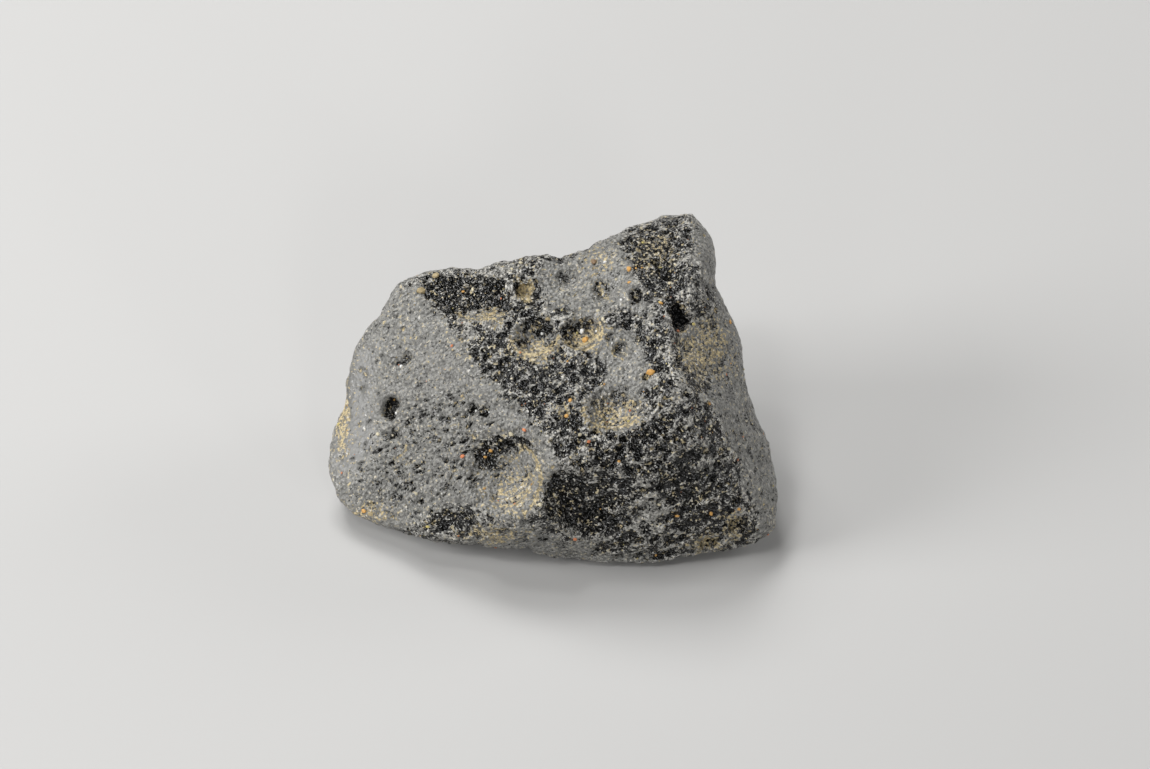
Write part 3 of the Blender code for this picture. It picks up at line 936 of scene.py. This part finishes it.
def cells(size, feature="F1"):
    """The distance to the middle of a random cell, or to its edge. Cells have a size in mm."""
    made = node("ShaderNodeTexVoronoi", feature=feature)
    links.new(object_place, made.inputs["Vector"])
    made.inputs["Scale"].default_value = 1 / (size * MM)
    return made.outputs["Distance"]


turned = node("ShaderNodeMapping", vector_type="TEXTURE")
links.new(object_place, turned.inputs["Vector"])
flow_turn = flow.to_track_quat("X", "Z").to_euler()
turned.inputs["Rotation"].default_value = flow_turn
turned.inputs["Scale"].default_value = (STRETCH, 1.0, 1.0)


def streaky(size):
    """Noise drawn out along the flow of the glass."""
    made = node("ShaderNodeTexNoise")
    links.new(turned.outputs["Vector"], made.inputs["Vector"])
    made.inputs["Scale"].default_value = 1 / (size * MM)
    made.inputs["Detail"].default_value = 2.0
    return made.outputs["Fac"]


print("the space is turned by", [round(math.degrees(a), 1) for a in flow_turn], "degrees")

# %% [markdown]
# The frosted film and the painted sheen
# Soil water left a thin grey film on the glass, and the same grey also paints the sheen of
# the lamps on the broad faces. It is closed where the frost mask is high, and falls apart
# into specks where it is low. That is done with a level and a limit: the masks and some fine
# noise are added up, and the film is there where the sum is above the limit. The wall mask
# and the hollows take it away as painted shade, and the crests add to it as painted
# highlight. Pepper takes small dark specks out of the closed film again.

# %% Lay the film, with painted sheen and shade
FILM_AND_SHEEN_LIMITS = (0.62, 0.72)
PEPPER_LIMITS = (0.64, 0.69)
from_cell_middle = cells(0.36)
mottle = sum_up("MULTIPLY", grainy(0.19, 1.5), 0.62)
# Painted shade: less film in the middle of each cell, where the bump makes a dimple.
mottle = sum_up("MULTIPLY_ADD", from_cell_middle, 0.20, mottle)
clusters = sum_up("MULTIPLY_ADD", streaky(1.0), 0.40, -0.20)
# Frost brings film and painted sheen; the wall mask takes film away as painted shade; crests gain it as
# painted highlight.
level = sum_up("MULTIPLY_ADD", painted("frost_and_sheen"), 0.33, clusters)
level = sum_up("MULTIPLY_ADD", painted("wall_shade"), -0.22, level)
level = sum_up("MULTIPLY_ADD", painted("raised"), 0.26, level)
film_and_sheen = from_to(sum_up("ADD", level, mottle), *FILM_AND_SHEEN_LIMITS)
pepper = sum_up("MULTIPLY_ADD", painted("grain"), 0.05, grainy(0.32, 2.0))
pepper = from_to(pepper, *PEPPER_LIMITS, 1.0, 0.25)
film_and_sheen = sum_up("MULTIPLY", film_and_sheen, pepper)
print("film laid, the graph has", len(nodes), "nodes")

# %% [markdown]
# Clay, crumbs with painted glints, and threads
# Clay follows its mask, with a ragged border from noise. Besides it there are pale crumbs
# all over the stone, partly clay dust and partly painted glints of the bare glass, and thin
# threads of clay in the cracks between the grains, which are the edges of random cells.
# Both are commoner in some places than in others.

# %% Lay the clay, the crumbs with painted glints, and the threads
CLAY_LIMITS = (0.62, 0.70)
CRUMB_AND_GLINT_LIMITS = (0.783, 0.813)
clayey = from_to(sum_up("MULTIPLY_ADD", painted("clay"), 0.30, grainy(0.34, 2.0)), *CLAY_LIMITS)
gathered = from_to(grainy(2.6, 2.0), 0.44, 0.60)
crumbs_and_glints = sum_up("MULTIPLY_ADD", gathered, 0.05, grainy(0.34, 1.0))
crumbs_and_glints = sum_up("MULTIPLY_ADD", painted("grain"), 0.10, crumbs_and_glints)
crumbs_and_glints = from_to(sum_up("MULTIPLY_ADD", painted("clay"), 0.07, crumbs_and_glints), *CRUMB_AND_GLINT_LIMITS)
cracks = from_to(cells(0.42, "DISTANCE_TO_EDGE"), 0.03, 0.12, 1.0, 0.0)
threads = sum_up("MULTIPLY", cracks, from_to(grainy(0.5, 2.0), 0.58, 0.64))
threads = sum_up("MULTIPLY", threads, gathered)
crust_and_glints = sum_up("MAXIMUM", crumbs_and_glints, threads)
print("clay laid, the graph has", len(nodes), "nodes")

# %% [markdown]
# The colours
# Each of the three has a dark and a pale end, and fine noise chooses between them. A closed
# film is an even slate grey, which also stands for painted sheen. The loose specks of film
# on bare glass range from nearly black to nearly white: partly the sharp ends of grains, and
# partly painted glints. The pale grey crumbs are partly painted glints too.

# %% Mix the colours
GLASS_BLACK = (0.004, 0.004, 0.0037, 1.0)
GLASS_STAINED = (0.040, 0.030, 0.015, 1.0)
FILM_AND_SHEEN_COLOURS = (0.092, 0.091, 0.085, 1.0), (0.270, 0.265, 0.245, 1.0)
# Painted glints: the pale end of the specks stands for the lamps glinting on bare glass.
SPECK_AND_GLINT_COLOURS = (0.050, 0.048, 0.044, 1.0), (0.560, 0.545, 0.500, 1.0)
CLAY_COLOURS = (0.130, 0.112, 0.074, 1.0), (0.500, 0.400, 0.215, 1.0)
# The pale grey end of the crumbs is partly painted glints, the cream end is clay.
CRUMB_AND_GLINT_COLOURS = (0.56, 0.55, 0.52, 1.0), (0.50, 0.42, 0.25, 1.0)
bare_black = blend(clayey, GLASS_BLACK, GLASS_STAINED)
shade = sum_up("SUBTRACT", from_to(grainy(0.34, 2.0, 0.7), 0.28, 0.72), 0.5)
shade = sum_up("MULTIPLY", shade, from_to(painted("grain"), 0.1, 0.5, 0.15, 1.0))
shade = sum_up("ADD", shade, from_to(painted("grain"), 0.1, 0.4, 0.12, 0.5))
film_and_sheen_grey = blend(shade, *FILM_AND_SHEEN_COLOURS)
speck_and_glint_grey = blend(shade, *SPECK_AND_GLINT_COLOURS)
film_and_sheen_grey = blend(from_to(painted("frost_and_sheen"), 0.25, 0.6), speck_and_glint_grey, film_and_sheen_grey)
clay_tan = blend(from_to(grainy(0.25, 2.0), 0.35, 0.65), *CLAY_COLOURS)
cream_and_glint = blend(from_to(grainy(0.8), 0.40, 0.60), *CRUMB_AND_GLINT_COLOURS)
cover = sum_up("MAXIMUM", film_and_sheen, sum_up("MULTIPLY", clayey, 0.9))
skin_colour = blend(cover, bare_black, blend(clayey, film_and_sheen_grey, clay_tan))
skin_colour = blend(crust_and_glints, skin_colour, cream_and_glint)
links.new(skin_colour, shader.inputs["Base Color"])
print("colours mixed, the graph has", len(nodes), "nodes")

# %% [markdown]
# The gloss
# Bare glass is smooth and takes sharp lights. Film, clay and crumbs each make it rougher.
# The floors of the glossy pits are the smoothest of all.

# %% Set the roughness
GLASS_ROUGHNESS = 0.15
roughness = sum_up("MULTIPLY_ADD", film_and_sheen, 0.26, GLASS_ROUGHNESS)
roughness = sum_up("MULTIPLY_ADD", clayey, 0.2, roughness)
roughness = sum_up("MULTIPLY_ADD", crust_and_glints, 0.2, roughness, clamp=True)
roughness = sum_up("MULTIPLY", roughness, from_to(painted("gloss"), 0.0, 0.8, 1.0, 0.35))
links.new(roughness, shader.inputs["Roughness"])
print("roughness set, the graph has", len(nodes), "nodes")

# %% [markdown]
# The finest grain
# The last grain is finer than the triangles of the mesh, so it is only a bump: the shader
# tilts the light on it and the shape stays. Each cell becomes a small dimple, noise makes
# them uneven, and the grain mask says how deep they are.

# %% Add the finest grain
BUMP_DEPTH = 0.12 * MM
etched = sum_up("MULTIPLY", from_cell_middle, from_cell_middle)
etched = sum_up("MULTIPLY_ADD", grainy(0.55, 1.0), 1.4, etched)
bump_height = sum_up("MULTIPLY", etched, from_to(painted("grain"), 0.1, 0.8, 0.2, 3.2))
bump_height = sum_up("MULTIPLY_ADD", crust_and_glints, 0.3, bump_height)
bump = node("ShaderNodeBump")
bump.inputs["Strength"].default_value = 1.0
bump.inputs["Distance"].default_value = BUMP_DEPTH
links.new(bump_height, bump.inputs["Height"])
links.new(bump.outputs["Normal"], shader.inputs["Normal"])
skin.materials.clear()
skin.materials.append(glass)
print("material of", len(nodes), "nodes finished")

# %% [markdown]
# The paint of the grains
# The grains need far less. Their colour is already on their points, so an attribute node
# hands it to the shader, and a middling roughness makes them dull. They keep flat faces,
# which look broken and sandy, where smooth ones would look like beads.

# %% Give the grains their clay
clay_paint = bpy.data.materials.new("clay_grains")
clay_paint.use_nodes = True
clay_nodes = clay_paint.node_tree.nodes
clay_shader = clay_nodes["Principled BSDF"]
clay_tint = clay_nodes.new("ShaderNodeAttribute")
clay_tint.attribute_name = "tint"
clay_paint.node_tree.links.new(clay_tint.outputs["Color"], clay_shader.inputs["Base Color"])
clay_shader.inputs["Roughness"].default_value = 0.5
clay_mesh.materials.append(clay_paint)
grains = bpy.data.objects.new("clay_grains", clay_mesh)
bpy.context.scene.collection.objects.link(grains)
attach(grains, "root")
print(grains.name, "placed with", len(clay_mesh.polygons), "faces")

# %% [markdown]
# The finished stone
# The carved skin becomes an object at the origin, because its points already have their
# places. It moves with the stone's one body, as the grains do, and it is shown in place of
# the plain solid, which lies just under it.

# %% Put the stone together
stone = bpy.data.objects.new("tektite_glass", skin)
bpy.context.scene.collection.objects.link(stone)
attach(stone, "root")
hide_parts("tektite")
print(stone.name, "placed with", len(skin.polygons), "faces")
